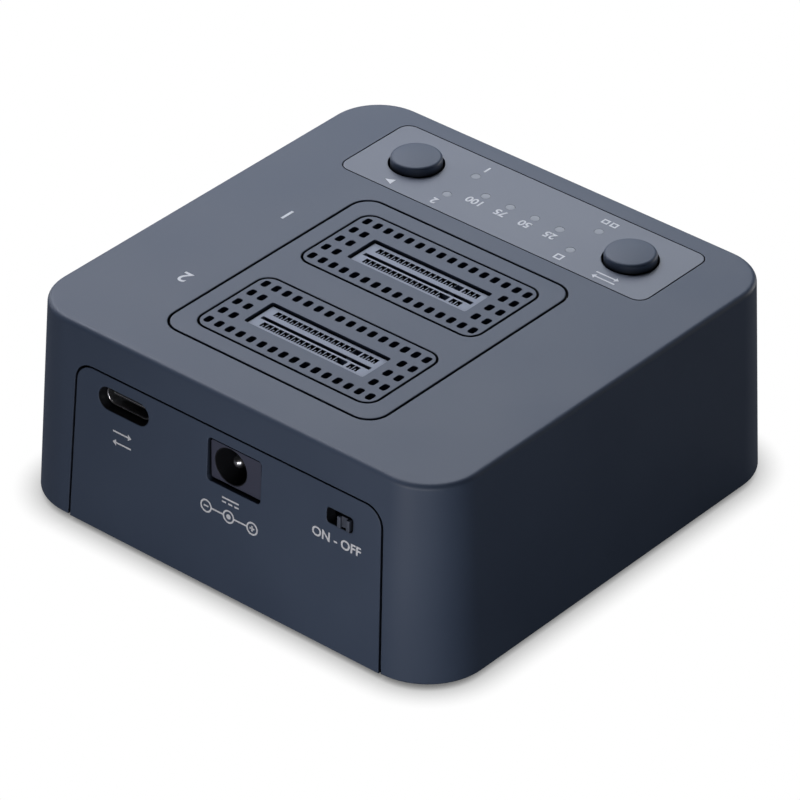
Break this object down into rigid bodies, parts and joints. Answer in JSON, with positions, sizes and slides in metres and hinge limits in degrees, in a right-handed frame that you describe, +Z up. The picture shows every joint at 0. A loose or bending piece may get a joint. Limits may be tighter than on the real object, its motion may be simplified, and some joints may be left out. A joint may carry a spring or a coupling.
{
  "type": "drive duplicator",
  "caption": "Square table-top drive duplicator with two upright card-edge drive sockets in perforated deck covers, push buttons, lamps, and USB-C, power inlet and slide switch at the rear.",
  "frame": {"origin": "centre of the footprint, on the table under the feet", "axes": "+Z up, -Y towards the control strip (front), +Y towards the connectors (rear), +X to the right seen from the front"},
  "size_m": [0.082, 0.082, 0.0355],
  "materials": {
    "housing_plastic": "fine matte texture",
    "strip_plastic": "fine matte texture",
    "lamp_lens": "milky",
    "socket_plastic": "satin",
    "contact_metal": "plated",
    "steel": "bright",
    "black_plastic": "matte",
    "inlet_plastic": "matte",
    "knob_plastic": "matte",
    "board_laminate": "solder mask",
    "sink_aluminium": "anodised",
    "coil_ferrite": "matte",
    "soft_rubber": "matte"
  },
  "bodies": {
    "housing": {"base_plate": "housing_plastic", "base_screws": "steel", "bay_deck": "housing_plastic", "bridge_chips": "black_plastic", "control_board": "board_laminate", "control_board_screws": "steel", "control_strip": "strip_plastic", "dc_inlet": "inlet_plastic", "dc_pin": "steel", "dc_spring": "contact_metal", "duplicator_chip": "black_plastic", "filter_capacitors": "sink_aluminium", "heat_sink": "sink_aluminium", "light_pipes": "lamp_lens", "link_plug": "black_plastic", "link_socket": "black_plastic", "main_board": "board_laminate", "main_board_screws": "steel", "mode_switch_body": "black_plastic", "mode_switch_cover": "steel", "power_inductors": "coil_ferrite", "power_switch_body": "black_plastic", "rear_panel": "housing_plastic", "rubber_feet": "soft_rubber", "source_contacts": "contact_metal", "source_grille": "housing_plastic", "source_socket": "socket_plastic", "start_switch_body": "black_plastic", "start_switch_cover": "steel", "status_leds": "lamp_lens", "target_contacts": "contact_metal", "target_grille": "housing_plastic", "target_socket": "socket_plastic", "thermal_pad": "soft_rubber", "top_shell": "housing_plastic", "usb_c_contacts": "contact_metal", "usb_c_shell": "steel", "usb_c_tongue": "black_plastic"},
    "start_button": {"start_button_cap": "housing_plastic", "start_switch_plunger": "black_plastic"},
    "mode_button": {"mode_button_cap": "housing_plastic", "mode_switch_plunger": "black_plastic"},
    "power_knob": {"power_switch_knob": "knob_plastic"}
  },
  "joints": [
    {"name": "start_press", "type": "slide", "parent": "housing", "child": "start_button", "axis": [0, 0, -1], "range_m": [0, 0.0005], "stiffness_N_per_m": 400, "springref_m": -0.0005},
    {"name": "mode_press", "type": "slide", "parent": "housing", "child": "mode_button", "axis": [0, 0, -1], "range_m": [0, 0.0005], "stiffness_N_per_m": 400, "springref_m": -0.0005},
    {"name": "power_slide", "type": "slide", "parent": "housing", "child": "power_knob", "axis": [1, 0, 0], "range_m": [0, 0.002]}
  ]
}
